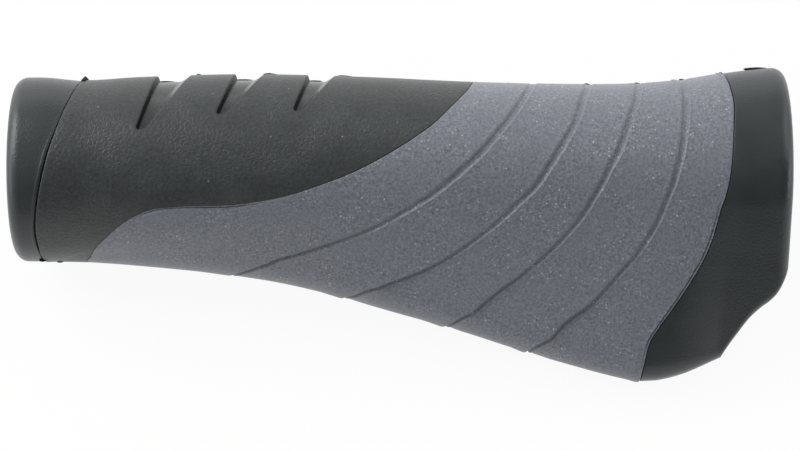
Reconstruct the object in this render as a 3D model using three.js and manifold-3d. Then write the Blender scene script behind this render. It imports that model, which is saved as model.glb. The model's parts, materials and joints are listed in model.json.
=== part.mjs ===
import * as THREE from 'three';
import { mergeVertices } from 'three/addons/utils/BufferGeometryUtils.js';
import Module from 'manifold-3d';

// Bicycle handlebar grip with a palm wing: a smooth black base sleeve with a blind bar bore, a black
// grained cover on the finger side and a grey pad over the wing. Millimetres, +Z up, bar along X.
// It is shaped about the bar's axis, fingers towards +Y and palm towards -Y, both flat sides alike,
// and at the end the whole grip is laid down on its collar and the tip of its wing.

// Sizes along the bar
const LENGTH = 133;
const COLLAR_WIDTH = 4.6;
const END_LENGTH = 9.9;
const END_WALL = 4;

// Bore for a flat handlebar
const BORE_DIAMETER = 22.2;
const BORE_CHAMFER = 0.6;

// Wall of the grip at its waist, from the bore outwards
const SLEEVE_WALL = 1.9;
const SEAT_GAP = 0.3;
const COVER_WALL = 1.7;
const COVER_PROUD = 0.15;

// Roundings of the two ends, and of the wing where its outboard end is cut away
const RIM_RADIUS = 2.2;
const CUT_EDGE_RADIUS = 2.6;

// Grooves in the palm pad, wide at the fingers and narrow at the wing's edge
const GROOVE_DEPTH = 0.4;
const GROOVE_WIDTH_FRONT = 1.8;
const GROOVE_WIDTH_REAR = 0.9;
const GROOVE_FLOOR_SHARE = 0.45;

// Slots in the front cover, each with its lean and width as shares of the first one's
const SLOT_DEPTH = 1.1;
const SLOT_WIDTH = 5.6;
const SLOT_LEAN = 2.8;
const SLOT_RAMP = 1.8;
const SLOT_TIP_WIDTH = 1.45;
const SLOT_TIP_RAMP = 0.6;
const SLOT_WALL_LEAN = 0.15;
const SLOT_LIP = 0.25;
const SLOT_CLEAR_ABOVE = 0.8;
const SLOTS = [
  { along: 0.186, lean: 1, width: 1, reach: 0.367 },
  { along: 0.287, lean: 0.98, width: 0.86, reach: 0.312 },
  { along: 0.3815, lean: 0.82, width: 0.79, reach: 0.297 },
];

// How finely the skins are faceted: half rounds, and rings along the bar
const HALF_STEPS = 24;
const RIM_STEPS = 4;
const COLLAR_STEPS = 3;
const CORE_STEPS = 16;
const END_STEPS = 7;
const COVER_STEPS = 13;
const PAD_INNER_STEPS = 12;
const BAND_STEPS = 3;
const SLOT_STEPS = 14;

const BORE_RADIUS = BORE_DIAMETER / 2;
const BODY_RADIUS = BORE_RADIUS + SLEEVE_WALL + SEAT_GAP + COVER_WALL;

// How far the outlines swell out over the body's radius, and how far the seams sweep along the bar
const FINGER_SWELL = 2.8;
const SIDE_SWELL = 1.1;
const WING_REACH = 21.95;
const WING_EDGE_RADIUS = 10;
const COLLAR_SWEEP = 7.4;
const END_SWEEP = 15.1;

// Outlines of the grip as [share of the length, share of the swell].
// The line that the fingers touch: swollen behind the collar, slim at the waist, full at the end
const FRONT_LINE = [
  [0, 0.39], [0.04, 0.39], [0.09, 0.18], [0.16, 0.375], [0.3, 0.555], [0.45, 0.39], [0.6, 0.07],
  [0.74, -0.055], [0.81, 0], [0.87, 0.25], [0.93, 0.715], [0.98, 0.98], [1, 1],
];
// The edge of the palm wing, as far as its sharp outboard corner
const WING_CORNER = 0.918;
const WING_LINE = [
  [0, 0.05], [0.04, 0.046], [0.105, 0.055], [0.19, 0.096], [0.265, 0.144], [0.34, 0.21], [0.42, 0.323],
  [0.5, 0.46], [0.58, 0.597], [0.656, 0.745], [0.737, 0.888], [0.787, 0.966], [0.82, 1], [0.865, 0.948],
  [WING_CORNER, 0.811],
];
// The hollow cut from that corner to the closed end
const CUT_LINE = [
  [WING_CORNER, 0.811], [0.928, 0.711], [0.937, 0.629], [0.952, 0.501], [0.966, 0.415], [0.978, 0.358],
  [0.989, 0.285], [1, 0.18],
];
// The flat sides, above and below
const SIDE_LINE = [
  [0, 1], [0.04, 1], [0.1, 0.55], [0.2, 0.82], [0.5, 0.64], [0.75, 0.45], [0.93, 1], [1, 1],
];
// Radius of the wing's rounded edge
const TIP_LINE = [
  [0, 1], [0.2, 1], [0.35, 0.85], [0.5, 0.68], [0.65, 0.58], [0.82, 0.54], [0.87, 0.46],
  [WING_CORNER, CUT_EDGE_RADIUS / WING_EDGE_RADIUS],
];

// Seams and grooves are drawn on the skin: [along, around], with around 0 on the finger line and
// 1 on the wing's edge. The collar seam goes out from the collar's narrowest width by shares of its
// sweep, and the end seam goes back from the end's shortest length
const COLLAR_SEAM = [
  [1, 0], [0.8, 0.19], [0.554, 0.34], [0.311, 0.465], [0.108, 0.6], [0, 0.72], [0.014, 0.82], [0.08, 1],
];
const END_SEAM = [
  [0.073, 0], [0.02, 0.18], [0, 0.27], [0.013, 0.339], [0.066, 0.519], [0.192, 0.63], [0.29, 0.681],
  [0.46, 0.725], [0.666, 0.766], [0.806, 0.793], [0.925, 0.825], [0.98, 0.89], [1, 1],
];
// The others are given in shares of the length
const PAD_SEAM = [
  [0.597, 0], [0.586, 0.16], [0.552, 0.31], [0.52, 0.39], [0.483, 0.456], [0.445, 0.509],
  [0.393, 0.56], [0.348, 0.597], [0.302, 0.62], [0.265, 0.628], [0.227, 0.63], [0.189, 0.641],
  [0.155, 0.684], [0.13, 0.748], [0.11, 0.827], [0.095, 0.927], [0.091, 1],
];
const GROOVES = [
  [[0.675, 0], [0.669, 0.11], [0.652, 0.252], [0.624, 0.376], [0.592, 0.477], [0.554, 0.554],
    [0.512, 0.623], [0.468, 0.678], [0.421, 0.726], [0.372, 0.775], [0.332, 0.821], [0.301, 0.897],
    [0.286, 0.955], [0.28, 1]],
  [[0.7475, 0], [0.743, 0.1], [0.733, 0.232], [0.723, 0.329], [0.706, 0.419], [0.689, 0.496],
    [0.669, 0.555], [0.64, 0.611], [0.605, 0.663], [0.567, 0.716], [0.526, 0.765], [0.484, 0.807],
    [0.464, 0.838], [0.448, 0.885], [0.432, 0.951], [0.426, 1]],
  [[0.811, 0], [0.809, 0.107], [0.802, 0.231], [0.79, 0.34], [0.777, 0.443], [0.759, 0.527],
    [0.739, 0.592], [0.713, 0.643], [0.684, 0.69], [0.653, 0.736], [0.618, 0.787], [0.586, 0.848],
    [0.571, 0.903], [0.563, 0.955], [0.558, 1]],
  [[0.865, 0], [0.867, 0.12], [0.866, 0.241], [0.862, 0.351], [0.856, 0.457], [0.845, 0.543],
    [0.829, 0.607], [0.805, 0.661], [0.774, 0.715], [0.744, 0.766], [0.71, 0.812], [0.684, 0.876],
    [0.671, 0.934], [0.665, 1]],
];

// Half the girth in mm, near enough to space points evenly along a seam
const HALF_GIRTH = BODY_RADIUS * 3.6;

// How strongly the points around a section gather where it bends
const BEND_PULL = BODY_RADIUS / 2;

// Smooth line through the knots [share, value], with the values as shares of a size
function profile(shares, size) {
  const knots = shares.map(([along, value]) => [along, value * size]);
  const slopes = knots.map((knot, i) => {
    const before = knots[Math.max(0, i - 1)];
    const after = knots[Math.min(knots.length - 1, i + 1)];
    return (after[1] - before[1]) / (after[0] - before[0]);
  });
  return (share) => {
    if (share <= knots[0][0]) return knots[0][1];
    if (share >= knots[knots.length - 1][0]) return knots[knots.length - 1][1];
    const i = knots.findIndex((knot) => knot[0] > share) - 1;
    const span = knots[i + 1][0] - knots[i][0];
    const t = (share - knots[i][0]) / span;
    const rise = knots[i][1] * (2 * t ** 3 - 3 * t ** 2 + 1) + knots[i + 1][1] * (3 * t ** 2 - 2 * t ** 3);
    const lead = slopes[i] * (t ** 3 - 2 * t ** 2 + t) + slopes[i + 1] * (t ** 3 - t ** 2);
    return rise + span * lead;
  };
}

const frontLine = profile(FRONT_LINE, FINGER_SWELL);
const wingLine = profile(WING_LINE, WING_REACH);
const cutLine = profile(CUT_LINE, WING_REACH);
const sideLine = profile(SIDE_LINE, SIDE_SWELL);
const tipLine = profile(TIP_LINE, WING_EDGE_RADIUS);

// How far the rounded rims at both ends draw the skin in at a place along the bar
function rimInset(x) {
  const fromEnd = Math.min(x, LENGTH - x);
  if (fromEnd >= RIM_RADIUS) return 0;
  return RIM_RADIUS - Math.sqrt(Math.max(0, RIM_RADIUS ** 2 - (RIM_RADIUS - fromEnd) ** 2));
}

// Slope of the wing's flat sides at its outboard corner, which the cut-away end keeps
const cornerHalf = BODY_RADIUS + sideLine(WING_CORNER);
const cornerRear = BODY_RADIUS + wingLine(WING_CORNER);
const cornerSlope = Math.asin((cornerHalf - CUT_EDGE_RADIUS) / (cornerRear - CUT_EDGE_RADIUS));

// The section across the bar at x, its skin moved out by `out`: an ellipse quarter at the fingers,
// then a round body, a straight flank and a rounded tip, with an upright wall past the wing's corner
function section(x, out) {
  const share = x / LENGTH;
  const offset = out - rimInset(x);
  const front = BODY_RADIUS + frontLine(share) + offset;
  const half = BODY_RADIUS + sideLine(share) + offset;
  if (share <= WING_CORNER) {
    const rear = BODY_RADIUS + wingLine(share) + offset;
    const tip = tipLine(share) + offset;
    const slope = Math.asin(Math.min(1, (half - tip) / (rear - tip)));
    return { front, half, rear, tip, slope, wall: 0 };
  }
  const rear = BODY_RADIUS + cutLine(share) + offset;
  const tip = Math.max(RIM_RADIUS / 10, CUT_EDGE_RADIUS + offset);
  const slope = cornerSlope;
  const wall = (half - tip - (rear - tip) * Math.sin(slope)) / Math.cos(slope);
  return { front, half, rear, tip, slope, wall: Math.max(0, wall) };
}

// Point on the upper skin, around from 0 on the finger line to 1 on the wing's edge
function skin(x, around, out) {
  const { front, half, rear, tip, slope, wall } = section(x, out);
  if (around <= 0.5) {
    const angle = around * Math.PI;
    return new THREE.Vector3(x, front * Math.cos(angle), half * Math.sin(angle));
  }
  const flankStart = new THREE.Vector2(-half * Math.sin(slope), half * Math.cos(slope));
  const tipCentre = new THREE.Vector2(tip - rear, wall);
  const flankEnd = new THREE.Vector2(tipCentre.x - tip * Math.sin(slope), wall + tip * Math.cos(slope));
  const bodyShare = (half + BEND_PULL) * slope;
  const flankShare = flankStart.distanceTo(flankEnd);
  const tipShare = (tip + BEND_PULL) * (Math.PI / 2 - slope);
  let rest = (around * 2 - 1) * (bodyShare + flankShare + tipShare + wall);
  if (rest <= bodyShare) {
    const angle = rest / (half + BEND_PULL);
    return new THREE.Vector3(x, -half * Math.sin(angle), half * Math.cos(angle));
  }
  rest -= bodyShare;
  if (rest <= flankShare) {
    const point = flankStart.lerp(flankEnd, rest / flankShare);
    return new THREE.Vector3(x, point.x, point.y);
  }
  rest -= flankShare;
  if (rest <= tipShare) {
    const angle = slope + rest / (tip + BEND_PULL);
    return new THREE.Vector3(x, tipCentre.x - tip * Math.sin(angle), wall + tip * Math.cos(angle));
  }
  return new THREE.Vector3(x, -rear, Math.max(0, wall - (rest - tipShare)));
}

// A line drawn on the upper skin: evenly spaced places { x, around } from fingers to wing
function drawn(knots) {
  const curve = new THREE.SplineCurve(knots.map(([x, around]) => new THREE.Vector2(x, around * HALF_GIRTH)));
  return curve.getSpacedPoints(HALF_STEPS).map((point, i) => {
    const end = i === 0 ? 0 : i === HALF_STEPS ? 1 : point.y / HALF_GIRTH;
    return { x: point.x, around: THREE.MathUtils.clamp(end, 0, 1) };
  });
}

const stretched = (knots) => knots.map(([share, around]) => [share * LENGTH, around]);
const collarSeam = drawn(COLLAR_SEAM.map(([past, around]) => [COLLAR_WIDTH + past * COLLAR_SWEEP, around]));
const padSeam = drawn(stretched(PAD_SEAM));
const endSeam = drawn(END_SEAM.map(([back, around]) => [LENGTH - END_LENGTH - back * END_SWEEP, around]));
const grooves = GROOVES.map((knots) => drawn(stretched(knots)));

// A ring square to the bar, and one that passes through the wing's corner but keeps past the end seam
const squareRing = (x) => Array.from({ length: HALF_STEPS + 1 }, (_, i) => ({ x, around: i / HALF_STEPS }));
const CORNER_BOW = 2.6;
const cornerRing = squareRing(WING_CORNER * LENGTH).map(({ x, around }) => ({
  x: x + CORNER_BOW * (1 - THREE.MathUtils.smoothstep(around, 0.45, 0.68)),
  around,
}));

// The line a share of the way from one drawn line to another
function between(from, to, share) {
  return from.map((place, i) => ({
    x: THREE.MathUtils.lerp(place.x, to[i].x, share),
    around: THREE.MathUtils.lerp(place.around, to[i].around, share),
  }));
}

// Upper half of a line as points, moved out from the skin and sideways along it, to its outboard side
function halfLoop(line, out, sideways = () => 0) {
  const points = line.map(({ x, around }) => skin(x, around, out));
  return points.map((point, i) => {
    const shift = sideways(i / HALF_STEPS);
    if (shift === 0) return point;
    const along = points[Math.min(HALF_STEPS, i + 1)].clone().sub(points[Math.max(0, i - 1)]);
    if (i === 0 || i === HALF_STEPS) along.x = 0;
    const outward = skin(line[i].x, line[i].around, out + 1).sub(point);
    const aside = outward.cross(along).normalize();
    if (i === 0 || i === HALF_STEPS) aside.set(1, 0, 0);
    return point.clone().addScaledVector(aside, shift);
  });
}

// The whole loop: the upper half and its mirror image below
function loop(line, out, sideways) {
  const upper = halfLoop(line, out, sideways);
  upper[0].z = 0;
  upper[HALF_STEPS].z = 0;
  const lower = upper.slice(1, HALF_STEPS).reverse();
  return [...upper, ...lower.map((point) => new THREE.Vector3(point.x, point.y, -point.z))];
}

const roundLoop = (x, radius) => {
  const upper = squareRing(x).map(({ around }) => {
    const angle = around * Math.PI;
    return new THREE.Vector3(x, radius * Math.cos(angle), radius * Math.sin(angle));
  });
  upper[HALF_STEPS].z = 0;
  const lower = upper.slice(1, HALF_STEPS).reverse();
  return [...upper, ...lower.map((point) => new THREE.Vector3(point.x, point.y, -point.z))];
};

// Closed surface through loops of equal count: `ends` closes it with a fan at both ends, and
// otherwise the last loop joins the first
function surface(loops, ends) {
  const count = loops[0].length;
  const points = loops.flat();
  const faces = [];
  const joined = ends ? loops.length - 1 : loops.length;
  for (let row = 0; row < joined; row += 1) {
    const next = (row + 1) % loops.length;
    for (let i = 0; i < count; i += 1) {
      const j = (i + 1) % count;
      const [a, b, c, d] = [row * count + i, row * count + j, next * count + j, next * count + i];
      faces.push(a, b, c, a, c, d);
    }
  }
  if (ends) {
    for (const row of [0, loops.length - 1]) {
      const centre = new THREE.Vector3();
      loops[row].forEach((point) => centre.addScaledVector(point, 1 / count));
      points.push(centre);
      for (let i = 0; i < count; i += 1) {
        const j = (i + 1) % count;
        const [a, b] = row === 0 ? [row * count + j, row * count + i] : [row * count + i, row * count + j];
        faces.push(points.length - 1, a, b);
      }
    }
  }
  let volume = 0;
  for (let i = 0; i < faces.length; i += 3) {
    volume += points[faces[i]].clone().cross(points[faces[i + 1]]).dot(points[faces[i + 2]]);
  }
  if (volume < 0) faces.reverse();
  const geometry = new THREE.BufferGeometry();
  geometry.setAttribute('position', new THREE.Float32BufferAttribute(points.flatMap((p) => p.toArray()), 3));
  geometry.setIndex(faces);
  return geometry;
}

const steps = (count) => Array.from({ length: count + 1 }, (_, i) => i / count);

const skinOut = -COVER_PROUD;
const coverInner = -COVER_WALL;
const coreOut = -COVER_WALL - SEAT_GAP;
const halfGap = SEAT_GAP / 2;

// Base sleeve: bore floor, bore, mouth, collar, core under the covers, and the closed end
function baseSleeve() {
  const loops = [];
  loops.push(roundLoop(LENGTH - END_WALL, BORE_RADIUS));
  loops.push(roundLoop(BORE_CHAMFER, BORE_RADIUS));
  loops.push(roundLoop(0, BORE_RADIUS + BORE_CHAMFER));
  steps(RIM_STEPS).forEach((t) => {
    loops.push(loop(squareRing(RIM_RADIUS * (1 - Math.cos((t * Math.PI) / 2))), skinOut));
  });
  steps(COLLAR_STEPS).slice(1, -1).forEach((t) => {
    loops.push(loop(between(squareRing(RIM_RADIUS), collarSeam, t), skinOut));
  });
  loops.push(loop(collarSeam, skinOut, () => -halfGap));
  loops.push(loop(collarSeam, coreOut, () => -halfGap));
  steps(CORE_STEPS).slice(1, -1).forEach((t) => loops.push(loop(between(collarSeam, endSeam, t), coreOut)));
  loops.push(loop(endSeam, coreOut, () => halfGap));
  loops.push(loop(endSeam, skinOut, () => halfGap));
  loops.push(loop(between(endSeam, cornerRing, 0.5), skinOut));
  const endStart = squareRing(LENGTH - RIM_RADIUS);
  steps(END_STEPS).slice(0, -1).forEach((t) => loops.push(loop(between(cornerRing, endStart, t), skinOut)));
  steps(RIM_STEPS).forEach((t) => {
    loops.push(loop(squareRing(LENGTH - RIM_RADIUS * (1 - Math.sin((t * Math.PI) / 2))), skinOut));
  });
  return surface(loops, true);
}

// Palm pad: grooved skin from the pad seam to the end seam, and a plain inner side
function palmPad() {
  const loops = [loop(padSeam, coverInner, () => halfGap), loop(padSeam, 0, () => halfGap)];
  const marks = [padSeam, ...grooves, endSeam];
  const grooveHalf = (t) => THREE.MathUtils.lerp(GROOVE_WIDTH_FRONT, GROOVE_WIDTH_REAR, t) / 2;
  for (let i = 1; i < marks.length; i += 1) {
    steps(BAND_STEPS).slice(1, -1).forEach((t) => loops.push(loop(between(marks[i - 1], marks[i], t), 0)));
    if (i < marks.length - 1) {
      loops.push(loop(marks[i], 0, (t) => -grooveHalf(t)));
      loops.push(loop(marks[i], -GROOVE_DEPTH, (t) => -grooveHalf(t) * GROOVE_FLOOR_SHARE));
      loops.push(loop(marks[i], -GROOVE_DEPTH, (t) => grooveHalf(t) * GROOVE_FLOOR_SHARE));
      loops.push(loop(marks[i], 0, grooveHalf));
    }
  }
  loops.push(loop(endSeam, 0, () => -halfGap), loop(endSeam, coverInner, () => -halfGap));
  const inner = steps(PAD_INNER_STEPS).slice(1, -1).reverse();
  inner.forEach((t) => loops.push(loop(between(padSeam, endSeam, t), coverInner)));
  return surface(loops, false);
}

// Front cover before its slots are cut
function plainCover() {
  const loops = [loop(collarSeam, coverInner, () => halfGap), loop(collarSeam, 0, () => halfGap)];
  const middle = steps(COVER_STEPS).slice(1, -1);
  middle.forEach((t) => loops.push(loop(between(collarSeam, padSeam, t), 0)));
  loops.push(loop(padSeam, 0, () => -halfGap), loop(padSeam, coverInner, () => -halfGap));
  middle.reverse().forEach((t) => loops.push(loop(between(collarSeam, padSeam, t), coverInner)));
  return surface(loops, false);
}

// Cutter for one slot, over the finger line from one flat side to the other: a steep inboard wall,
// a level floor, and a ramp up to the lip of the outboard edge
function slotCutter({ along, lean, width, reach }) {
  const loops = steps(SLOT_STEPS).map((t) => {
    const side = t * 2 - 1;
    const far = Math.abs(side);
    const left = along * LENGTH - lean * SLOT_LEAN * far ** 2;
    const right = left + THREE.MathUtils.lerp(width * SLOT_WIDTH, SLOT_TIP_WIDTH, far ** 2);
    const ramp = THREE.MathUtils.lerp(SLOT_RAMP, SLOT_TIP_RAMP, far ** 2);
    const outline = [
      [left - SLOT_WALL_LEAN, SLOT_CLEAR_ABOVE],
      [left + SLOT_WALL_LEAN, -SLOT_DEPTH],
      [right - ramp, -SLOT_DEPTH],
      [right, -SLOT_LIP],
      [right + SLOT_WALL_LEAN, SLOT_CLEAR_ABOVE],
    ];
    return outline.map(([x, out]) => {
      const point = skin(x, far * reach, out);
      if (side < 0) point.z = -point.z;
      return point;
    });
  });
  return surface(loops, true);
}

const wasm = await Module();
wasm.setup();

function toSolid(geometry) {
  const source = geometry.clone();
  const merged = mergeVertices(source, 1e-5);
  return new wasm.Manifold(new wasm.Mesh({
    numProp: 3,
    vertProperties: new Float32Array(merged.attributes.position.array),
    triVerts: new Uint32Array(merged.index.array),
  }));
}

function toGeometry(solid) {
  const mesh = solid.getMesh();
  const geometry = new THREE.BufferGeometry();
  geometry.setAttribute('position', new THREE.BufferAttribute(mesh.vertProperties, 3));
  geometry.setIndex(new THREE.BufferAttribute(mesh.triVerts, 1));
  return geometry;
}

function frontCover() {
  let solid = toSolid(plainCover());
  SLOTS.forEach((slot) => {
    solid = solid.subtract(toSolid(slotCutter(slot)));
  });
  return toGeometry(solid);
}

// Materials: smooth black thermoplastic, grained black rubber and speckled grey rubber
const baseMaterial = new THREE.MeshStandardMaterial({ color: 0x383b3d, roughness: 0.55, metalness: 0 });
const coverMaterial = new THREE.MeshStandardMaterial({ color: 0x424446, roughness: 0.7, metalness: 0 });
const padMaterial = new THREE.MeshStandardMaterial({ color: 0x656a72, roughness: 0.75, metalness: 0 });

function piece(name, geometry, material) {
  const mesh = new THREE.Mesh(geometry, material);
  mesh.name = name;
  return mesh;
}

const aboutBar = new THREE.Group();
aboutBar.add(
  piece('base_sleeve', baseSleeve(), baseMaterial),
  piece('front_cover', frontCover(), coverMaterial),
  piece('palm_pad', palmPad(), padMaterial),
);

// Laid down: the wing drops until its widest place touches what the collar stands on
const widest = WING_LINE.reduce((best, knot) => (knot[1] > best[1] ? knot : best));
const wing = section(widest[0] * LENGTH, 0);
const collarHalf = BODY_RADIUS + sideLine(COLLAR_WIDTH / LENGTH);
aboutBar.rotation.x = Math.asin((collarHalf - wing.tip) / (wing.rear - wing.tip));

const grip = new THREE.Group();
grip.add(aboutBar);
grip.updateMatrixWorld(true);
const box = new THREE.Box3().setFromObject(grip, true);
grip.position.set(-(box.min.x + box.max.x) / 2, -(box.min.y + box.max.y) / 2, -box.min.z);

export default grip;
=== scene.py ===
import json
import math

import bpy
import numpy as np
from mathutils import Matrix, Vector


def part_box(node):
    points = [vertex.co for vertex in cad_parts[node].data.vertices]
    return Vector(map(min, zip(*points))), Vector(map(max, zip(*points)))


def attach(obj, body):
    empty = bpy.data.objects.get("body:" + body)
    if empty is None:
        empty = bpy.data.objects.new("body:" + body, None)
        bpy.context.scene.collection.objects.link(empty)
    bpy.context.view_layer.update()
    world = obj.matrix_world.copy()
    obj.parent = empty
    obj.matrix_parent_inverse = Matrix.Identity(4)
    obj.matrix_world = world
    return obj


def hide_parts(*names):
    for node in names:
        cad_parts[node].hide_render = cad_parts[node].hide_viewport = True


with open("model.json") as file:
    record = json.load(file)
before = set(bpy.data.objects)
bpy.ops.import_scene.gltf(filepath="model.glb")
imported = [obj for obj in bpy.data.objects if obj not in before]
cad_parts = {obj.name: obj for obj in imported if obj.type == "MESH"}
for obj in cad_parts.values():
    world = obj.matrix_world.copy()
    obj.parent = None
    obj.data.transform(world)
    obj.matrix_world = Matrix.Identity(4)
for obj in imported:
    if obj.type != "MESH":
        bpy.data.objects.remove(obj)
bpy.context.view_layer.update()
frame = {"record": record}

# Bicycle handlebar grip, lying on its collar and the edge of its palm wing. The three mouldings are
# laid out about the bar's axis in millimetres, fingers towards +Y and palm towards -Y, and then
# turned and moved as the solids are.

MM = 0.001

# Sizes of the solids
LENGTH = 133.0
COLLAR_WIDTH = 4.6
END_LENGTH = 9.9
END_WALL = 4.0
BORE_RADIUS = 11.1
BORE_CHAMFER = 0.6
BODY_RADIUS = 15.0
COVER_PROUD = 0.15
RIM_RADIUS = 2.2
CUT_EDGE_RADIUS = 2.6
WING_CORNER = 0.918

# Depth of the covers as they sit bonded in the sleeve, a hair clear of its core
COVER_SEAT = 1.95
CORE_DEPTH = 2.0

# Grooves in the pad and slots in the cover, each slot with its lean and width as shares of the first's
GROOVE_DEPTH = 0.4
GROOVE_WIDTH_FRONT = 1.8
GROOVE_WIDTH_REAR = 0.9
SLOT_DEPTH = 1.1
SLOT_WIDTH = 5.6
SLOT_LEAN = 2.8
SLOT_RAMP = 1.8
SLOT_TIP_WIDTH = 1.45
SLOT_TIP_RAMP = 0.6
SLOT_LIP = 0.25
SLOTS = (
    {"along": 0.186, "lean": 1, "width": 1, "reach": 0.367},
    {"along": 0.287, "lean": 0.98, "width": 0.86, "reach": 0.312},
    {"along": 0.3815, "lean": 0.82, "width": 0.79, "reach": 0.297},
)

# How far the outlines swell out over the body's radius, and how far the seams sweep along the bar
FINGER_SWELL = 2.8
SIDE_SWELL = 1.1
WING_REACH = 21.95
WING_EDGE_RADIUS = 10.0
COLLAR_SWEEP = 7.4
END_SWEEP = 15.1

# Outlines as (share of the length, share of the swell)
FRONT_LINE = (
    (0, 0.39), (0.04, 0.39), (0.09, 0.18), (0.16, 0.375), (0.3, 0.555), (0.45, 0.39), (0.6, 0.07),
    (0.74, -0.055), (0.81, 0), (0.87, 0.25), (0.93, 0.715), (0.98, 0.98), (1, 1),
)
WING_LINE = (
    (0, 0.05), (0.04, 0.046), (0.105, 0.055), (0.19, 0.096), (0.265, 0.144), (0.34, 0.21), (0.42, 0.323),
    (0.5, 0.46), (0.58, 0.597), (0.656, 0.745), (0.737, 0.888), (0.787, 0.966), (0.82, 1), (0.865, 0.948),
    (WING_CORNER, 0.811),
)
CUT_LINE = (
    (WING_CORNER, 0.811), (0.928, 0.711), (0.937, 0.629), (0.952, 0.501), (0.966, 0.415), (0.978, 0.358),
    (0.989, 0.285), (1, 0.18),
)
SIDE_LINE = (
    (0, 1), (0.04, 1), (0.1, 0.55), (0.2, 0.82), (0.5, 0.64), (0.75, 0.45), (0.93, 1), (1, 1),
)
TIP_LINE = (
    (0, 1), (0.2, 1), (0.35, 0.85), (0.5, 0.68), (0.65, 0.58), (0.82, 0.54), (0.87, 0.46),
    (WING_CORNER, CUT_EDGE_RADIUS / WING_EDGE_RADIUS),
)

# Seams and grooves on the skin as (along, around): around is 0 on the finger line, 1 on the wing's edge.
# The collar and end seams go along by shares of their sweep, the others by shares of the length
COLLAR_SEAM = (
    (1, 0), (0.8, 0.19), (0.554, 0.34), (0.311, 0.465), (0.108, 0.6), (0, 0.72), (0.014, 0.82), (0.08, 1),
)
END_SEAM = (
    (0.073, 0), (0.02, 0.18), (0, 0.27), (0.013, 0.339), (0.066, 0.519), (0.192, 0.63), (0.29, 0.681),
    (0.46, 0.725), (0.666, 0.766), (0.806, 0.793), (0.925, 0.825), (0.98, 0.89), (1, 1),
)
PAD_SEAM = (
    (0.597, 0), (0.586, 0.16), (0.552, 0.31), (0.52, 0.39), (0.483, 0.456), (0.445, 0.509),
    (0.393, 0.56), (0.348, 0.597), (0.302, 0.62), (0.265, 0.628), (0.227, 0.63), (0.189, 0.641),
    (0.155, 0.684), (0.13, 0.748), (0.11, 0.827), (0.095, 0.927), (0.091, 1),
)
GROOVES = (
    ((0.675, 0), (0.669, 0.11), (0.652, 0.252), (0.624, 0.376), (0.592, 0.477), (0.554, 0.554),
      (0.512, 0.623), (0.468, 0.678), (0.421, 0.726), (0.372, 0.775), (0.332, 0.821), (0.301, 0.897),
      (0.286, 0.955), (0.28, 1)),
    ((0.7475, 0), (0.743, 0.1), (0.733, 0.232), (0.723, 0.329), (0.706, 0.419), (0.689, 0.496),
      (0.669, 0.555), (0.64, 0.611), (0.605, 0.663), (0.567, 0.716), (0.526, 0.765), (0.484, 0.807),
      (0.464, 0.838), (0.448, 0.885), (0.432, 0.951), (0.426, 1)),
    ((0.811, 0), (0.809, 0.107), (0.802, 0.231), (0.79, 0.34), (0.777, 0.443), (0.759, 0.527),
      (0.739, 0.592), (0.713, 0.643), (0.684, 0.69), (0.653, 0.736), (0.618, 0.787), (0.586, 0.848),
      (0.571, 0.903), (0.563, 0.955), (0.558, 1)),
    ((0.865, 0), (0.867, 0.12), (0.866, 0.241), (0.862, 0.351), (0.856, 0.457), (0.845, 0.543),
      (0.829, 0.607), (0.805, 0.661), (0.774, 0.715), (0.744, 0.766), (0.71, 0.812), (0.684, 0.876),
      (0.671, 0.934), (0.665, 1)),
)

# About the length of half a loop, which turns `around` into mm for even spacing, and what is added to
# the radius of a bend when the loop is shared out over its stretches
HALF_GIRTH = BODY_RADIUS * 3.6
BEND_PULL = BODY_RADIUS / 2

# Points along half a loop, and how many times more of them come where the slots end
HALF_POINTS = 170
SLOT_TIP_CROWD = 2.3
PACE_SAMPLES = 2001
KNOT_SAMPLES = 60


def profile(knots, size):
    """Smooth line through (share, value) knots, with the values as shares of a size."""
    at = np.array([knot[0] for knot in knots], float)
    value = np.array([knot[1] for knot in knots], float) * size
    before = np.maximum(np.arange(len(at)) - 1, 0)
    after = np.minimum(np.arange(len(at)) + 1, len(at) - 1)
    slope = (value[after] - value[before]) / (at[after] - at[before])

    def line(share):
        share = np.clip(share, at[0], at[-1])
        i = np.clip(np.searchsorted(at, share, side="right") - 1, 0, len(at) - 2)
        span = at[i + 1] - at[i]
        t = (share - at[i]) / span
        rise = value[i] * (2 * t**3 - 3 * t**2 + 1) + value[i + 1] * (3 * t**2 - 2 * t**3)
        lead = slope[i] * (t**3 - 2 * t**2 + t) + slope[i + 1] * (t**3 - t**2)
        return rise + span * lead

    return line


front_line = profile(FRONT_LINE, FINGER_SWELL)
wing_line = profile(WING_LINE, WING_REACH)
cut_line = profile(CUT_LINE, WING_REACH)
side_line = profile(SIDE_LINE, SIDE_SWELL)
tip_line = profile(TIP_LINE, WING_EDGE_RADIUS)


def smooth(low, high, value):
    """Rises smoothly from 0 at low to 1 at high."""
    t = np.clip((value - low) / (high - low), 0, 1)
    return t * t * (3 - 2 * t)


def rim_inset(x):
    """How far the rounded rims at both ends draw the skin in."""
    inside = np.clip(RIM_RADIUS - np.minimum(x, LENGTH - x), 0, RIM_RADIUS)
    return RIM_RADIUS - np.sqrt(RIM_RADIUS**2 - inside**2)


def corner_slope():
    """Slope of the wing's flat sides at its outboard corner, which the cut-away end keeps."""
    half = BODY_RADIUS + side_line(WING_CORNER)
    rear = BODY_RADIUS + wing_line(WING_CORNER)
    return math.asin((half - CUT_EDGE_RADIUS) / (rear - CUT_EDGE_RADIUS))


CORNER_SLOPE = corner_slope()


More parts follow.
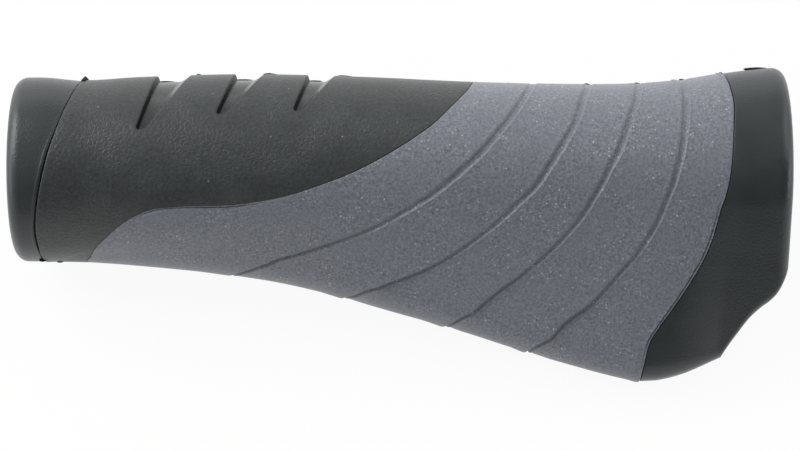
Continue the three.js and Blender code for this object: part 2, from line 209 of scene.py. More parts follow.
def section(x, out):
    """Sizes of the section across the bar at x, moved out by `out`.

    They are the reach to the fingers, half the thickness, the reach to the wing's edge, that edge's
    radius, the slope of the wing's flat sides and the height of the upright wall where the end is cut.
    """
    share = x / LENGTH
    offset = out - rim_inset(x)
    front = BODY_RADIUS + front_line(share) + offset
    half = BODY_RADIUS + side_line(share) + offset
    past = share > WING_CORNER
    rear = BODY_RADIUS + np.where(past, cut_line(share), wing_line(share)) + offset
    cut_tip = np.maximum(RIM_RADIUS / 10, CUT_EDGE_RADIUS + offset)
    tip = np.where(past, cut_tip, tip_line(share) + offset)
    wing_slope = np.arcsin(np.clip((half - tip) / (rear - tip), -1, 1))
    slope = np.where(past, CORNER_SLOPE, wing_slope)
    wall = (half - tip - (rear - tip) * np.sin(slope)) / np.cos(slope)
    return front, half, rear, tip, slope, np.where(past, np.maximum(0, wall), 0)


def skin(x, around, out=0.0):
    """Points on the upper skin, for arrays of places along and around."""
    x = np.asarray(x, float)
    around = np.asarray(around, float)
    front, half, rear, tip, slope, wall = section(x, out)

    # The palm's half of the loop goes round the body, down the flank, round the wing's edge and down
    # the wall, by their lengths. The fingers' half is part of an ellipse
    flank_start = np.stack([-half * np.sin(slope), half * np.cos(slope)])
    centre = np.stack([tip - rear, wall])
    flank_end = centre + np.stack([-tip * np.sin(slope), tip * np.cos(slope)])
    body_share = (half + BEND_PULL) * slope
    flank_share = np.hypot(*(flank_end - flank_start))
    tip_share = (tip + BEND_PULL) * (math.pi / 2 - slope)
    rest = (around * 2 - 1) * (body_share + flank_share + tip_share + wall)

    # Where the place would be on each of the stretches, and then the one that it is on
    finger = np.stack([front * np.cos(around * math.pi), half * np.sin(around * math.pi)])
    angle = rest / (half + BEND_PULL)
    body = np.stack([-half * np.sin(angle), half * np.cos(angle)])
    flank_part = np.where(flank_share > 0, (rest - body_share) / np.maximum(flank_share, 1e-9), 0)
    flank = flank_start + (flank_end - flank_start) * flank_part
    turn = slope + (rest - body_share - flank_share) / (tip + BEND_PULL)
    edge = centre + np.stack([-tip * np.sin(turn), tip * np.cos(turn)])
    upright = np.stack([-rear, np.maximum(0, wall - (rest - body_share - flank_share - tip_share))])
    place = np.where(around <= 0.5, finger, body)
    place = np.where((around > 0.5) & (rest > body_share), flank, place)
    place = np.where((around > 0.5) & (rest > body_share + flank_share), edge, place)
    place = np.where((around > 0.5) & (rest > body_share + flank_share + tip_share), upright, place)
    return np.stack([x + np.zeros_like(around), place[0], place[1]], axis=-1)


def pace():
    """Shares along half a loop, from fingers to wing, closer together where the slots end."""
    spot = np.linspace(0, 1, PACE_SAMPLES)
    crowd = 1 + (SLOT_TIP_CROWD - 1) * (smooth(0.17, 0.22, spot) - smooth(0.4, 0.45, spot))
    done = np.concatenate([[0], np.cumsum((crowd[1:] + crowd[:-1]) / 2)])
    return np.interp(np.linspace(0, done[-1], HALF_POINTS + 1), done, spot)


PACE = pace()


def drawn(knots):
    """A line drawn on the upper skin: (x, around) places at the pace above, from fingers to wing."""
    points = np.array([(x, around * HALF_GIRTH) for x, around in knots])
    padded = np.vstack([2 * points[0] - points[1], points, 2 * points[-1] - points[-2]])
    pieces = []
    for i in range(len(points) - 1):
        a, b, c, d = padded[i:i + 4]
        if i == 0:
            a = b
        if i == len(points) - 2:
            d = c

        # Cubic through b and c, with its slopes from the knots on both sides
        t = np.linspace(0, 1, KNOT_SAMPLES, endpoint=i == len(points) - 2)[:, None]
        pull_in = (c - a) / 2
        pull_out = (d - b) / 2
        curve = (2 * b - 2 * c + pull_in + pull_out) * t**3
        curve += (3 * c - 3 * b - 2 * pull_in - pull_out) * t**2 + pull_in * t + b
        pieces.append(curve)
    dense = np.vstack(pieces)
    length = np.concatenate([[0], np.cumsum(np.hypot(*np.diff(dense, axis=0).T))])
    x = np.interp(PACE * length[-1], length, dense[:, 0])
    around = np.interp(PACE * length[-1], length, dense[:, 1] / HALF_GIRTH)
    around[0] = 0
    around[-1] = 1
    return np.stack([x, np.clip(around, 0, 1)])


def stretched(knots):
    """The knots of a line whose places along the bar are shares of the length, in mm."""
    return [(share * LENGTH, around) for share, around in knots]


collar_seam = drawn([(COLLAR_WIDTH + past * COLLAR_SWEEP, around) for past, around in COLLAR_SEAM])
pad_seam = drawn(stretched(PAD_SEAM))
end_seam = drawn([(LENGTH - END_LENGTH - back * END_SWEEP, around) for back, around in END_SEAM])
grooves = [drawn(stretched(knots)) for knots in GROOVES]


def square_ring(x):
    """A line straight round the bar at x."""
    return np.stack([np.full(HALF_POINTS + 1, float(x)), PACE])


# The ring through the wing's corner bows outboard on the finger side, to keep past the end seam
CORNER_BOW = 2.6
corner_ring = square_ring(WING_CORNER * LENGTH)
corner_ring[0] += CORNER_BOW * (1 - smooth(0.45, 0.68, PACE))


def between(start, end, share):
    """The place or line a share of the way from one to another."""
    return start + (end - start) * share


def loop(line, out=0.0, sideways=0.0):
    """The closed loop of a line: the upper half, moved out and sideways on the skin, and its mirror."""
    upper = skin(line[0], line[1], out)
    shift = np.broadcast_to(sideways, HALF_POINTS + 1)

    # Sideways is at right angles to the line, along the skin, and at the mirror plane along the bar
    if np.any(shift != 0):
        along = np.gradient(upper, axis=0)
        along[0, 0] = along[-1, 0] = 0
        outward = skin(line[0], line[1], np.asarray(out) + 1) - upper
        aside = np.cross(outward, along)
        aside /= np.linalg.norm(aside, axis=1)[:, None]
        aside[0] = aside[-1] = (1, 0, 0)
        upper = upper + aside * shift[:, None]
    upper[0, 2] = upper[-1, 2] = 0
    lower = upper[-2:0:-1] * (1, 1, -1)
    return np.vstack([upper, lower])


def round_loop(x, radius):
    """A circle about the bar."""
    angle = PACE * math.pi
    upper = np.stack([np.full_like(angle, x), radius * np.cos(angle), radius * np.sin(angle)], axis=-1)
    return np.vstack([upper, upper[-2:0:-1] * (1, 1, -1)])


# How the solids lie: turned about the bar until the wing's widest place touches, then moved
widest = max(WING_LINE, key=lambda knot: knot[1])
_, _, wing_rear, wing_tip, _, _ = section(np.array(widest[0] * LENGTH), 0.0)
collar_half = BODY_RADIUS + side_line(COLLAR_WIDTH / LENGTH)
TILT = math.asin((collar_half - wing_tip) / (wing_rear - wing_tip))
bore_low, bore_high = frame["record"]["physics"]["openings"][0]["box_m"]
base_low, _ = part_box("base_sleeve")
lay_down = Matrix.Translation((
    base_low.x,
    (bore_low[1] + bore_high[1]) / 2,
    (bore_low[2] + bore_high[2]) / 2,
)) @ Matrix.Rotation(TILT, 4, "X")


def laid(points):
    """Bar-frame millimetres to metres where the grip lies."""
    turn = np.array(lay_down.to_3x3())
    return np.asarray(points) * MM @ turn.T + np.array(lay_down.translation)


def deselect():
    """Leaves no object selected."""
    for each in bpy.context.selected_objects:
        each.select_set(False)


# Points nearer than this many metres are one point, and edges sharper than this many degrees stay sharp
SAME_POINT = 1e-6
SHARP_EDGE = 50


def wrapped_skin(name, loops, polish_and_shade=None):
    """A grid primitive wrapped round the bar: one row for each loop, closed along its seams."""
    points = np.array(loops)
    points = np.concatenate([points, points[:, :1]], axis=1)
    rows, columns = points.shape[:2]
    deselect()
    bpy.ops.mesh.primitive_grid_add(x_subdivisions=columns - 1, y_subdivisions=rows - 1, size=1)
    piece = bpy.context.object
    piece.name = name
    piece.data.name = name
    piece.data.vertices.foreach_set("co", laid(points.reshape(-1, 3)).ravel())
    piece.data.update()
    # This layer also carries painted shade: below 0 on the cover's slot walls
    if polish_and_shade is not None:
        polished = piece.data.attributes.new("polish_and_shade", "FLOAT", "POINT")
        polished.data.foreach_set("value", np.concatenate([polish_and_shade, polish_and_shade[:, :1]], axis=1).ravel())
    bpy.ops.object.mode_set(mode="EDIT")
    bpy.ops.mesh.select_all(action="SELECT")
    bpy.ops.mesh.remove_doubles(threshold=SAME_POINT)
    bpy.ops.mesh.normals_make_consistent(inside=False)
    bpy.ops.object.mode_set(mode="OBJECT")
    bpy.ops.object.shade_smooth_by_angle(angle=math.radians(SHARP_EDGE))
    return piece


# A low bead along a moulded edge, or where its height is negative a crease: (mm from the edge, share
# of the height) for each row
BEAD_ROWS = ((0.06, 0.6), (0.14, 1), (0.24, 1), (0.34, 0.3), (0.42, 0))
EDGE_ROWS = 5


def edge_rows(line, side, top, radius, gap, depth, bead=None):
    """Rows of a moulded edge beside a seam: up the wall from `depth`, round a radius, over any bead."""
    rows = [loop(line, depth, side * gap), loop(line, (depth + top) / 2, side * gap)]
    for turn in np.linspace(0, math.pi / 2, EDGE_ROWS):
        rise = top - radius * (1 - math.sin(turn))
        rows.append(loop(line, rise, side * (gap + radius * (1 - math.cos(turn)))))
    if bead is not None:
        for aside, share in BEAD_ROWS:
            rows.append(loop(line, top + bead * share, side * (gap + radius + aside)))
    return rows


def run(count, first=0.0, last=1.0):
    """Evenly spaced shares, both ends left out."""
    return np.linspace(first, last, count + 2)[1:-1]


# Half the gap of each seam, in mm, and the radius of the edges beside it. The collar's gap is wider
# halfway round, and the one between pad and cover is nearly closed
COLLAR_GAP = 0.05 + 0.08 * smooth(0.3, 0.5, PACE) * (1 - smooth(0.8, 0.86, PACE))
PAD_GAP = 0.035
END_GAP = 0.05
FINE_EDGE = 0.22
CLOSED_EDGE = 0.13

# The collar's edge swells into a bead where its gap is wide, and the pad's edge has a crease
# along the end seam and along its tail
COLLAR_BEAD = 0.07 * smooth(0.35, 0.5, PACE) * (1 - smooth(0.78, 0.84, PACE))
END_CREASE = -0.3 * smooth(0.5, 0.6, PACE) * (1 - smooth(0.82, 0.88, PACE))
TAIL_CREASE = -0.25 * smooth(0.52, 0.6, PACE) * (1 - smooth(0.74, 0.82, PACE))


# Rows round a rim, along the bore, along the cores under the covers and on the skins between two lines
RIM_ROWS = 12
BORE_ROWS = 12
SLEEVE_CORE_ROWS = 40
COVER_CORE_ROWS = 30
COLLAR_ROWS = 12
END_ROWS = 10
CUT_ROWS = 26
PAD_ROWS = 14
COVER_ROWS = 15

# Where those rows start or stop as shares of the way, clear of the close rows beside seams and grooves
COLLAR_LAST_ROW = 0.7
END_FIRST_ROW = 0.12
PAD_FIRST_ROW = 0.09
PAD_LAST_ROW = 0.9
GROOVE_CLEARANCE = 0.2
COVER_FIRST_ROW = 0.03
COVER_LAST_ROW = 0.985


def base_sleeve_loops():
    """The sleeve's rows: up the blind bore, round the collar, along the core and over the closed end."""
    quarter_turn = np.linspace(0, math.pi / 2, RIM_ROWS)
    bore_floor = LENGTH - END_WALL
    loops = [round_loop(bore_floor, 0.0)]
    loops += [round_loop(x, BORE_RADIUS) for x in np.linspace(bore_floor, BORE_CHAMFER, BORE_ROWS)]
    loops.append(round_loop(0, BORE_RADIUS + BORE_CHAMFER))
    for turn in quarter_turn:
        loops.append(loop(square_ring(RIM_RADIUS * (1 - math.cos(turn))), -COVER_PROUD))
    rim_ring = square_ring(RIM_RADIUS)
    for share in run(COLLAR_ROWS, 0, COLLAR_LAST_ROW):
        loops.append(loop(between(rim_ring, collar_seam, share), -COVER_PROUD))
    collar_edge = edge_rows(collar_seam, -1, -COVER_PROUD, FINE_EDGE, COLLAR_GAP, -CORE_DEPTH, COLLAR_BEAD)
    loops += collar_edge[::-1]
    for share in run(SLEEVE_CORE_ROWS):
        loops.append(loop(between(collar_seam, end_seam, share), -CORE_DEPTH))
    loops += edge_rows(end_seam, 1, -COVER_PROUD, FINE_EDGE, END_GAP, -CORE_DEPTH)
    for share in run(END_ROWS, END_FIRST_ROW, 1):
        loops.append(loop(between(end_seam, corner_ring, share), -COVER_PROUD))
    end_ring = square_ring(LENGTH - RIM_RADIUS)
    for share in np.linspace(0, 1, CUT_ROWS):
        loops.append(loop(between(corner_ring, end_ring, share), -COVER_PROUD))
    for turn in quarter_turn[1:]:
        loops.append(loop(square_ring(LENGTH - RIM_RADIUS * (1 - math.sin(turn))), -COVER_PROUD))
    loops.append(round_loop(LENGTH, 0.0))
    return loops


# Rows across a groove, as shares of half its width, and the low beads along its edges
GROOVE_ROWS = (
    -1.6, -1.45, -1.35, -1.25, -1.15, -1.05, -0.95, -0.85, -0.75, -0.65, -0.55, -0.45, -0.35, -0.25,
    -0.1, 0.05, 0.2, 0.3, 0.4, 0.48, 0.56, 0.64, 0.72, 0.8, 0.88, 0.96, 1.05, 1.15, 1.25,
)
GROOVE_BEAD = 0.06


def palm_pad_loops():
    """The pad's rows: up its edge at the cover, across the grooves, down at the end seam and back below."""
    loops = edge_rows(pad_seam, 1, 0, CLOSED_EDGE, PAD_GAP, -COVER_SEAT, TAIL_CREASE)
    marks = [pad_seam, *grooves, end_seam]

    # The grooves narrow towards the wing's edge and are shallower at the finger line
    half_width = (GROOVE_WIDTH_FRONT + (GROOVE_WIDTH_REAR - GROOVE_WIDTH_FRONT) * PACE) / 2
    fading = 0.3 + 0.7 * smooth(0, 0.13, PACE)
    for i in range(1, len(marks)):
        first = PAD_FIRST_ROW if i == 1 else GROOVE_CLEARANCE
        last = PAD_LAST_ROW if i == len(marks) - 1 else 1 - GROOVE_CLEARANCE
        for share in np.linspace(first, last, PAD_ROWS):
            loops.append(loop(between(marks[i - 1], marks[i], share)))
        if i < len(marks) - 1:
            for aside in GROOVE_ROWS:
                dip = GROOVE_DEPTH * smooth(-1.1, -0.3, aside) * (1 - smooth(0.25, 0.9, aside))
                inboard_bead = 0.5 * smooth(-1.6, -1.3, aside) * (1 - smooth(-1.3, -1.05, aside))
                outboard_bead = smooth(0.7, 0.96, aside) * (1 - smooth(0.96, 1.25, aside))
                bead = GROOVE_BEAD * (inboard_bead + outboard_bead)
                loops.append(loop(marks[i], (bead - dip) * fading, aside * half_width))
    loops += edge_rows(end_seam, -1, 0, FINE_EDGE, END_GAP, -COVER_SEAT, END_CREASE)[::-1]
    for share in run(SLEEVE_CORE_ROWS)[::-1]:
        loops.append(loop(between(pad_seam, end_seam, share), -COVER_SEAT))
    return loops


def slot_edges(slot, around):
    """Inboard edge, floor's outboard edge and outboard edge of a slot, in mm along the bar."""
    far = np.clip(around / slot["reach"], 0, 1)
    left = slot["along"] * LENGTH - slot["lean"] * SLOT_LEAN * far**2
    width = slot["width"] * SLOT_WIDTH
    right = left + width + (SLOT_TIP_WIDTH - width) * far**2
    ramp = SLOT_RAMP + (SLOT_TIP_RAMP - SLOT_RAMP) * far**2
    return left, right - ramp, right


def slot_sink(x, around):
    """Depth of the slots at places on the cover, and a value for their floors and walls: 1 on the smooth
    floors, and -1 on the inboard walls, which are painted dark as shade.

    The bounds on `beside` and the lip are mm from the slot's edges, positive inside it.
    """
    sink = np.zeros_like(x)
    polish_and_shade = np.zeros_like(x)
    tip_round = SLOT_TIP_WIDTH / 2
    for slot in SLOTS:
        left, floor, right = slot_edges(slot, around)
        to_tip = (slot["reach"] - around) * HALF_GIRTH
        to_left = x - left
        to_right = right - x
        near_tip = np.clip(tip_round - to_tip, 0, None)
        near_left = np.clip(tip_round - to_left, 0, None)
        near_right = np.clip(tip_round - to_right, 0, None)
        inside_left = tip_round - np.hypot(near_tip, near_left)
        inside_right = tip_round - np.hypot(near_tip, near_right)
        beside = np.minimum(inside_left, to_left)
        wall = smooth(-0.45, 0.2, beside) ** 2
        lip = smooth(-0.1, 0.2, np.minimum(inside_right, to_right))
        ramp = np.clip((right - x) / np.maximum(right - floor, 1e-6), 0, 1)
        floor_depth = SLOT_LIP + (SLOT_DEPTH - SLOT_LIP) * smooth(-0.1, 1.1, ramp)
        sink = np.maximum(sink, wall * lip * floor_depth)
        # Painted shade: a dark band at the foot of each slot's inboard wall, where shade falls, which goes in
        # as -1
        wall_shade = smooth(-0.3, -0.12, beside) * (1 - smooth(0.12, 0.34, beside)) * lip
        polish_and_shade += smooth(0.5, 0.95, wall) * lip * (1 - wall_shade) - wall_shade
    return sink, polish_and_shade


# Steps in which slot edges are looked for, and the close rows beside each edge, in mm from it
SHARE_SAMPLES = 400
SLOT_WALL_ROWS = (-0.5, -0.35, -0.25, -0.15, -0.08, 0.08, 0.15, 0.25, 0.35, 0.5)


def cover_shares():
    """Shares between the collar and pad seams, point by point along the loop, that follow the slots."""
    grid = np.linspace(0, 1, SHARE_SAMPLES)[:, None]
    x = between(collar_seam[0], pad_seam[0], grid)
    around = between(collar_seam[1], pad_seam[1], grid)
    columns = np.arange(HALF_POINTS + 1)
    marks = [np.full(HALF_POINTS + 1, COVER_FIRST_ROW)]
    for slot in SLOTS:
        for edge in slot_edges(slot, around):
            hit = np.argmax(x - edge >= 0, axis=0)
            share = grid[hit, 0]

            # Past the slot's tip the row keeps its share
            inside = around[hit, columns] <= slot["reach"]
            last = np.max(np.nonzero(inside)[0])
            share[last:] = share[last]
            marks.append(share)
    marks.append(np.full(HALF_POINTS + 1, COVER_LAST_ROW))
    return marks


def front_cover_loops():
    """The cover's rows, and along each how smooth the skin is and where it is painted dark as shade."""
    loops = edge_rows(collar_seam, 1, 0, FINE_EDGE, COLLAR_GAP, -COVER_SEAT)
    polish_and_shade = [np.zeros(len(loops[0]))] * len(loops)
    marks = cover_shares()
    length = np.maximum(pad_seam[0] - collar_seam[0], 1)
    rows = [marks[0]]
    for i in range(1, len(marks)):
        for share in np.linspace(0, 1, COVER_ROWS)[1:]:
            rows.append(between(marks[i - 1], marks[i], share))
    for mark in marks[1:-1]:
        for aside in SLOT_WALL_ROWS:
            rows.append(mark + aside / length)
    rows = np.sort(np.array(rows), axis=0)
    for share in rows:
        line = between(collar_seam, pad_seam, share)
        sink, gloss_and_shade = slot_sink(line[0], line[1])
        loops.append(loop(line, -sink))
        polish_and_shade.append(np.concatenate([gloss_and_shade, gloss_and_shade[-2:0:-1]]))
    loops += edge_rows(pad_seam, -1, 0, CLOSED_EDGE, PAD_GAP, -COVER_SEAT)[::-1]
    for share in run(COVER_CORE_ROWS)[::-1]:
        loops.append(loop(between(collar_seam, pad_seam, share), -COVER_SEAT))
    polish_and_shade += [polish_and_shade[0]] * (len(loops) - len(polish_and_shade))
    return loops, np.array(polish_and_shade)


def srgb(code):
    """An sRGB hex colour such as 4a4f55, made linear."""
    parts = [int(code[i:i + 2], 16) / 255 for i in (0, 2, 4)]
    linear = [part / 12.92 if part <= 0.04045 else ((part + 0.055) / 1.055) ** 2.4 for part in parts]
    return (*linear, 1.0)


def add(tree, kind, settings=None, links=None):
    """Adds a shader node, sets its properties and plain inputs, and links sockets into it."""
    made = tree.nodes.new(kind)
    for key, value in (settings or {}).items():
        if isinstance(key, str) and hasattr(made, key):
            setattr(made, key, value)
        else:
            made.inputs[key].default_value = value
    for key, source in (links or {}).items():
        tree.links.new(source, made.inputs[key])
    return made


def new_material(name):
    """An empty node material, and its tree."""
    material = bpy.data.materials.new(name)
    material.use_nodes = True
    tree = material.node_tree
    tree.nodes.clear()
    return material, tree


def finish_material(tree, shader):
    """Links the shader to the material's output."""
    add(tree, "ShaderNodeOutputMaterial", None, {"Surface": shader.outputs[0]})


def object_place(tree):
    """Coordinates that stay with the piece, in metres."""
    return add(tree, "ShaderNodeTexCoord").outputs["Object"]


def noise(tree, place, scale, detail, roughness=0.5):
    """A noise texture, by its value or its colour."""
    settings = {"Scale": scale, "Detail": detail, "Roughness": roughness}
    return add(tree, "ShaderNodeTexNoise", settings, {"Vector": place}).outputs


def remap(tree, source, low, high, to_low=0.0, to_high=1.0, ease="LINEAR"):
    """Maps a value from low..high to to_low..to_high, and holds it there."""
    bounds = {"interpolation_type": ease, 1: low, 2: high, 3: to_low, 4: to_high}
    return add(tree, "ShaderNodeMapRange", bounds, {0: source}).outputs[0]


def maths(tree, operation, *terms):
    """Works out a value from terms that are sockets or plain numbers."""
    plain = {i: term for i, term in enumerate(terms) if isinstance(term, float)}
    linked = {i: term for i, term in enumerate(terms) if i not in plain}
    return add(tree, "ShaderNodeMath", {"operation": operation, **plain}, linked).outputs[0]


def ramp_between(tree, source, low, high, dark, light):
    """Maps a value from low..high to a colour between two."""
    ends = {"data_type": "RGBA", 6: srgb(dark), 7: srgb(light)}
    return add(tree, "ShaderNodeMix", ends, {0: remap(tree, source, low, high)}).outputs[2]


def painted(tree, under, share, over):
    """Lays a plain colour over another by a share."""
    return add(tree, "ShaderNodeMix", {"data_type": "RGBA", 7: srgb(over)}, {0: share, 6: under}).outputs[2]


def moulded_plastic():
    """Thermoplastic elastomer off a polished tool: near black, satin, with a faint cloudy gloss."""
    material, tree = new_material("satin_moulded_elastomer")
    place = object_place(tree)
    cloud = noise(tree, place, 90.0, 3.0)[0]
    grit = noise(tree, place, 2600.0, 3.0)[0]
    bump = add(tree, "ShaderNodeBump", {"Strength": 1.0, "Distance": 0.00006}, {"Height": grit})
    shader = add(tree, "ShaderNodeBsdfPrincipled", {"Sheen Weight": 0.1, "Sheen Roughness": 0.4}, {
        "Base Color": ramp_between(tree, cloud, 0.35, 0.65, "212729", "2b3032"),
        "Roughness": remap(tree, cloud, 0.3, 0.7, 0.28, 0.38),
        "Normal": bump.outputs[0],
    })
    finish_material(tree, shader)
    return material


def grained_rubber():
    """Rubber from a leather-grained tool: soft black creased pebbles, slots smooth with painted shade on
    their walls, a little pale dust.
    """
    material, tree = new_material("leather_grained_rubber")
    place = object_place(tree)
    pores = noise(tree, place, 1900.0, 3.0, 0.6)[0]
    patches = noise(tree, place, 150.0, 2.0)[0]

    # Creases between pebbles, bent by noise so that no cell is straight
    warp = noise(tree, place, 900.0, 3.0)["Color"]
    shifted = add(tree, "ShaderNodeVectorMath", {"operation": "MULTIPLY_ADD", 1: (0.0011, 0.0011, 0.0011)}, {
        0: warp,
        2: place,
    })
    crease = add(tree, "ShaderNodeTexVoronoi", {"Scale": 1150.0, "feature": "DISTANCE_TO_EDGE"}, {
        "Vector": shifted.outputs[0],
    })
    pebble = remap(tree, crease.outputs["Distance"], 0.0, 0.28, ease="SMOOTHSTEP")

    # Colour: mottled, worn paler in patches, dusty in a few spots, and painted shade, near black, on the
    # walls of the slots
    polish_and_shade = add(tree, "ShaderNodeAttribute", {"attribute_name": "polish_and_shade"}).outputs["Fac"]
    speck = add(tree, "ShaderNodeTexVoronoi", {"Scale": 300.0}, {"Vector": place}).outputs["Distance"]
    colour = ramp_between(tree, pores, 0.3, 0.7, "1f2324", "353939")
    colour = painted(tree, colour, remap(tree, patches, 0.35, 0.75, 0.0, 0.35), "3f4344")
    colour = painted(tree, colour, remap(tree, speck, 0.055, 0.03, 0.0, 0.6), "8e9292")
    colour = painted(tree, colour, remap(tree, polish_and_shade, 0.0, -1.0, 0.0, 0.8), "060707")

    # Relief: deeper in patches, and nearly none where the slots are polished
    depth = remap(tree, patches, 0.35, 0.65, 0.22, 0.72)
    bump = add(tree, "ShaderNodeBump", {"Distance": 0.00012}, {
        "Strength": maths(tree, "MULTIPLY", depth, remap(tree, polish_and_shade, 0.0, 1.0, 1.0, 0.06)),
        "Height": maths(tree, "MULTIPLY_ADD", pebble, 0.45, pores),
    })
    shader = add(tree, "ShaderNodeBsdfPrincipled", {"Sheen Weight": 0.1, "Sheen Roughness": 0.4}, {
        "Base Color": colour,
        "Roughness": remap(tree, polish_and_shade, 0.0, 1.0, 0.42, 0.24),
        # Less gloss on the slot walls, as part of the painted shade
        "Specular IOR Level": remap(tree, polish_and_shade, 0.0, -1.0, 0.5, 0.1),
        "Normal": bump.outputs[0],
    })
    finish_material(tree, shader)
    return material


def speckled_rubber():
    """Grey rubber: a matt body, mottled finely, with painted glints as pale spots gathered in places."""
    material, tree = new_material("speckled_grey_rubber")
    place = object_place(tree)
    grain = noise(tree, place, 2300.0, 2.0, 0.7)[0]
    gathered = noise(tree, place, 210.0, 1.0)[0]

    # The body's mottle, stronger where the painted glints gather
    strength = remap(tree, gathered, 0.35, 0.6, 0.75, 1.15)
    mottle = maths(tree, "MULTIPLY_ADD", remap(tree, grain, 0.32, 0.68, -0.5, 0.5), strength, 0.5)
    body = ramp_between(tree, mottle, 0.0, 1.0, "555960", "797d87")

    # Painted glints: pale round spots in a few of the cells, more of them where they gather
    cell = add(tree, "ShaderNodeTexVoronoi", {"Scale": 1900.0}, {"Vector": place}).outputs
    spot = remap(tree, cell["Distance"], 0.38, 0.16)
    chance = add(tree, "ShaderNodeSeparateColor", None, {0: cell["Color"]}).outputs[0]
    over = maths(tree, "SUBTRACT", chance, remap(tree, gathered, 0.38, 0.64, 0.9, 0.64))
    painted_glints = maths(tree, "MULTIPLY", spot, remap(tree, over, 0.0, 0.4, 0.0, 0.75))

    bump = add(tree, "ShaderNodeBump", {"Strength": 0.35, "Distance": 0.00006}, {"Height": grain})
    shader = add(tree, "ShaderNodeBsdfPrincipled", {
        "Roughness": 0.5,
        "Specular IOR Level": 0.5,
        "Sheen Weight": 0.2,
        "Sheen Roughness": 0.5,
    }, {
        # The pale spots painted over the body are painted glints
        "Base Color": painted(tree, body, painted_glints, "c8cdd1"),
        "Normal": bump.outputs[0],
    })
    finish_material(tree, shader)
    return material


def torn_flash(name, darker, lighter):
    """Thin rubber skin squeezed out of a seam and torn off, without gloss and coloured darker than its rubber
    as painted shade.
    """
    material, tree = new_material(name)
    grit = noise(tree, object_place(tree), 4000.0, 2.0)[0]
    shader = add(tree, "ShaderNodeBsdfPrincipled", {"Roughness": 0.8, "Specular IOR Level": 0.2}, {
        "Base Color": ramp_between(tree, grit, 0.3, 0.7, darker, lighter),
    })
    finish_material(tree, shader)
    return material


# How wavy a scrap is, and how much lower at its outboard end
SCRAP_WAVE = 0.14
SCRAP_SLUMP = 0.45


def seam_scraps(name, scraps, material):
    """Small scraps on the skin's edge, each (along mm, around, length, height, width and sink in mm)."""
    blobs = []
    for along, around, length, height, width, sink in scraps:
        deselect()
        bpy.ops.mesh.primitive_ico_sphere_add(subdivisions=4, radius=1)
        blob = bpy.context.object
        points = np.array([vertex.co for vertex in blob.data.vertices])
        swell = 1 + SCRAP_WAVE * np.sin(3.1 * points[:, 0] + along) * np.cos(2.3 * points[:, 1])
        slump = 1 - SCRAP_SLUMP * np.clip(points[:, 0], 0, 1)
        outward = 1 - 2 * around
        local = np.stack([
            along + points[:, 0] * length / 2,
            outward * points[:, 1] * slump * height / 2,
            points[:, 2] * width / 2,
        ], axis=1)
        local[:, 1:] *= swell[:, None]
        local[:, 1:] += skin(along, around, -sink)[1:]
        blob.data.vertices.foreach_set("co", laid(local).ravel())
        blob.data.update()
        bpy.ops.object.shade_smooth()
        blobs.append(blob)
    deselect()
    for blob in blobs:
        blob.select_set(True)
    bpy.context.view_layer.objects.active = blobs[0]
    if len(blobs) > 1:
        bpy.ops.object.join()
    piece = bpy.context.object
    piece.name = name
    piece.data.name = name
    piece.data.materials.clear()
    piece.data.materials.append(material)
    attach(piece, "root")


def dress(piece, material, node):
    """Gives a moulding its finish and lets it stand for its solid."""
    piece.data.materials.clear()
    piece.data.materials.append(material)
    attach(piece, "root")
    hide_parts(node)


base_moulding = wrapped_skin("base_sleeve_moulding", base_sleeve_loops())
cover_moulding = wrapped_skin("front_cover_moulding", *front_cover_loops())
pad_moulding = wrapped_skin("palm_pad_moulding", palm_pad_loops())
dress(base_moulding, moulded_plastic(), "base_sleeve")
dress(cover_moulding, grained_rubber(), "front_cover")
dress(pad_moulding, speckled_rubber(), "palm_pad")


# Scraps left by the moulds: where the collar seam crosses the fingers' and palm's side, along the
# parting line in and beside the cover's slots, where the pad's grooves end, and the cut gate
COLLAR_SCRAPS = (
    (11.95, 0, 1.2, 1.6, 2.4, 0.15), (11.85, 0.045, 0.95, 0.8, 2.2, 0),
    (4.9, 0.93, 1.3, 0.6, 0.9, 0), (7.6, 0.98, 1.2, 0.45, 0.7, 0),
)
SLOT_SCRAPS = (
    (26.1, 0, 2.8, 0.3, 0.7, SLOT_DEPTH - 0.1), (31.6, 0, 1.0, 0.42, 0.5, 0.02),
    (39.5, 0, 3.0, 0.3, 0.7, SLOT_DEPTH - 0.1), (43.9, 0, 2.3, 0.45, 0.6, 0),
    (51.8, 0, 2.6, 0.3, 0.7, SLOT_DEPTH - 0.1), (56.7, 0, 2.8, 0.38, 0.6, 0.02),
)
PAD_SCRAPS = (
    (85.3, 0, 0.6, 0.24, 0.5, 0.06), (98.9, 0, 1.2, 0.38, 0.6, 0.06), (107.6, 0, 1.1, 0.38, 0.6, 0.06),
    (115.4, 0, 1.0, 0.34, 0.5, 0.06), (122.2, 0, 0.7, 0.44, 0.5, 0.06),
)
GATE_SCRAPS = ((128.6, 0, 5.0, 0.7, 2.2, 0.16),)

# Painted shade: the scraps are coloured darker than the rubber they come from
shaded_black_flash = torn_flash("torn_black_flash_painted_shade", "1a1d1e", "292c2d")
shaded_grey_flash = torn_flash("torn_grey_flash_painted_shade", "3c4046", "50545b")
seam_scraps("collar_seam_flash", COLLAR_SCRAPS, shaded_black_flash)
seam_scraps("slot_parting_flash", SLOT_SCRAPS, shaded_black_flash)
seam_scraps("pad_seam_flash", PAD_SCRAPS, shaded_grey_flash)
seam_scraps("cut_gate_mark", GATE_SCRAPS, shaded_black_flash)


# How much of what is seen of the floor is its own white light. The rest is paint, with the shadow
FLOOR_GLOW = 0.93
FLOOR_SIZE = 6.0


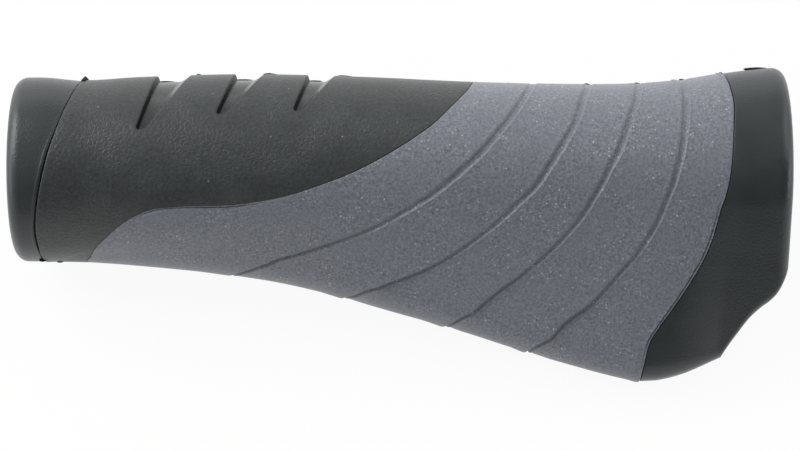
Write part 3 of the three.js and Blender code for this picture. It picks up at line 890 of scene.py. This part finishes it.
def pale_floor():
    """Matt white studio sheet, plain white to the camera and in gloss, which keeps the soft shadow."""
    deselect()
    bpy.ops.mesh.primitive_plane_add(size=FLOOR_SIZE)
    floor = bpy.context.object
    floor.name = "studio_floor"
    material, tree = new_material("white_studio_sheet")
    paint = add(tree, "ShaderNodeBsdfDiffuse", {"Color": srgb("f4f4f2")})
    glow = add(tree, "ShaderNodeEmission", {"Color": srgb("ffffff"), "Strength": 1.0})
    ray = add(tree, "ShaderNodeLightPath")
    straight = maths(tree, "MAXIMUM", ray.outputs["Is Camera Ray"], ray.outputs["Is Transmission Ray"])
    seen = maths(tree, "MAXIMUM", straight, ray.outputs["Is Glossy Ray"])
    blend = add(tree, "ShaderNodeMixShader", None, {
        0: maths(tree, "MULTIPLY", seen, FLOOR_GLOW),
        1: paint.outputs[0],
        2: glow.outputs[0],
    })
    finish_material(tree, blend)
    floor.data.materials.append(material)


# The room's brightness towards the fingers and the collar's end, and towards the palm. The horizon's glow
# adds to both, and fades out where a direction rises by GLOW_HEIGHT
BRIGHT_SIDE = (-0.35, 0.9, 0.0)
FINGER_SIDE_LEVEL = 1.0
PALM_SIDE_LEVEL = 0.16
HORIZON_GLOW = 0.7
GLOW_HEIGHT = 0.5

# Lamps by name: place, width and height in metres, and power in watts. All point at the grip's middle
LAMPS = {
    "key_softbox": ((-0.62, 0.32, 0.50), 0.6, 0.6, 5.6),
    "fill_softbox": ((0.62, 0.26, 0.52), 0.6, 0.6, 1.6),
    "collar_end_strip": ((-0.78, -0.06, 0.12), 0.4, 0.2, 0.6),
    "closed_end_strip": ((0.78, -0.10, 0.10), 0.4, 0.2, 0.6),
}
LAMP_TARGET = (0.0, 0.0, 0.015)


def studio_light():
    """A pale room, brighter beyond the fingers, with softboxes left and right and a low strip at each end."""
    world = bpy.data.worlds.new("pale_room")
    world.use_nodes = True
    tree = world.node_tree
    tree.nodes.clear()
    way = add(tree, "ShaderNodeTexCoord").outputs["Generated"]
    side = add(tree, "ShaderNodeVectorMath", {"operation": "DOT_PRODUCT", 1: BRIGHT_SIDE}, {0: way})
    level = remap(tree, side.outputs["Value"], -0.8, 1.0, PALM_SIDE_LEVEL, FINGER_SIDE_LEVEL)
    rise = add(tree, "ShaderNodeSeparateXYZ", None, {0: way}).outputs["Z"]
    glow = remap(tree, rise, 0.0, GLOW_HEIGHT, HORIZON_GLOW, 0.0, "SMOOTHSTEP")
    room = add(tree, "ShaderNodeBackground", {"Color": srgb("ffffff")}, {
        "Strength": maths(tree, "ADD", level, glow),
    })
    add(tree, "ShaderNodeOutputWorld", None, {"Surface": room.outputs[0]})
    bpy.context.scene.world = world
    for name, (place, width, height, power) in LAMPS.items():
        deselect()
        bpy.ops.object.light_add(type="AREA", location=place)
        lamp = bpy.context.object
        lamp.name = name
        lamp.data.shape = "RECTANGLE"
        lamp.data.size = width
        lamp.data.size_y = height
        lamp.data.energy = power
        aim = Vector(LAMP_TARGET) - lamp.location
        lamp.rotation_euler = aim.to_track_quat("-Z", "Y").to_euler()


def photo_camera():
    """Camera square onto the wing, 500 mm from the bar, framed as the photograph is."""
    pixel_mm = 0.1737
    distance = 500.0
    bar_row = 169.5
    frame_width, frame_height = 800, 450
    data = bpy.data.cameras.new("photo_camera")
    camera = bpy.data.objects.new("photo_camera", data)
    bpy.context.scene.collection.objects.link(camera)
    data.sensor_width = 36.0
    data.lens = data.sensor_width * distance / (frame_width * pixel_mm)
    data.clip_start = 0.01
    seat = Vector((LENGTH / 2, (bar_row - frame_height / 2) * pixel_mm, distance)) * MM
    camera.matrix_world = lay_down @ Matrix.Translation(seat)
    bpy.context.scene.camera = camera


pale_floor()
studio_light()
photo_camera()

bpy.context.scene.view_settings.view_transform = "Standard"
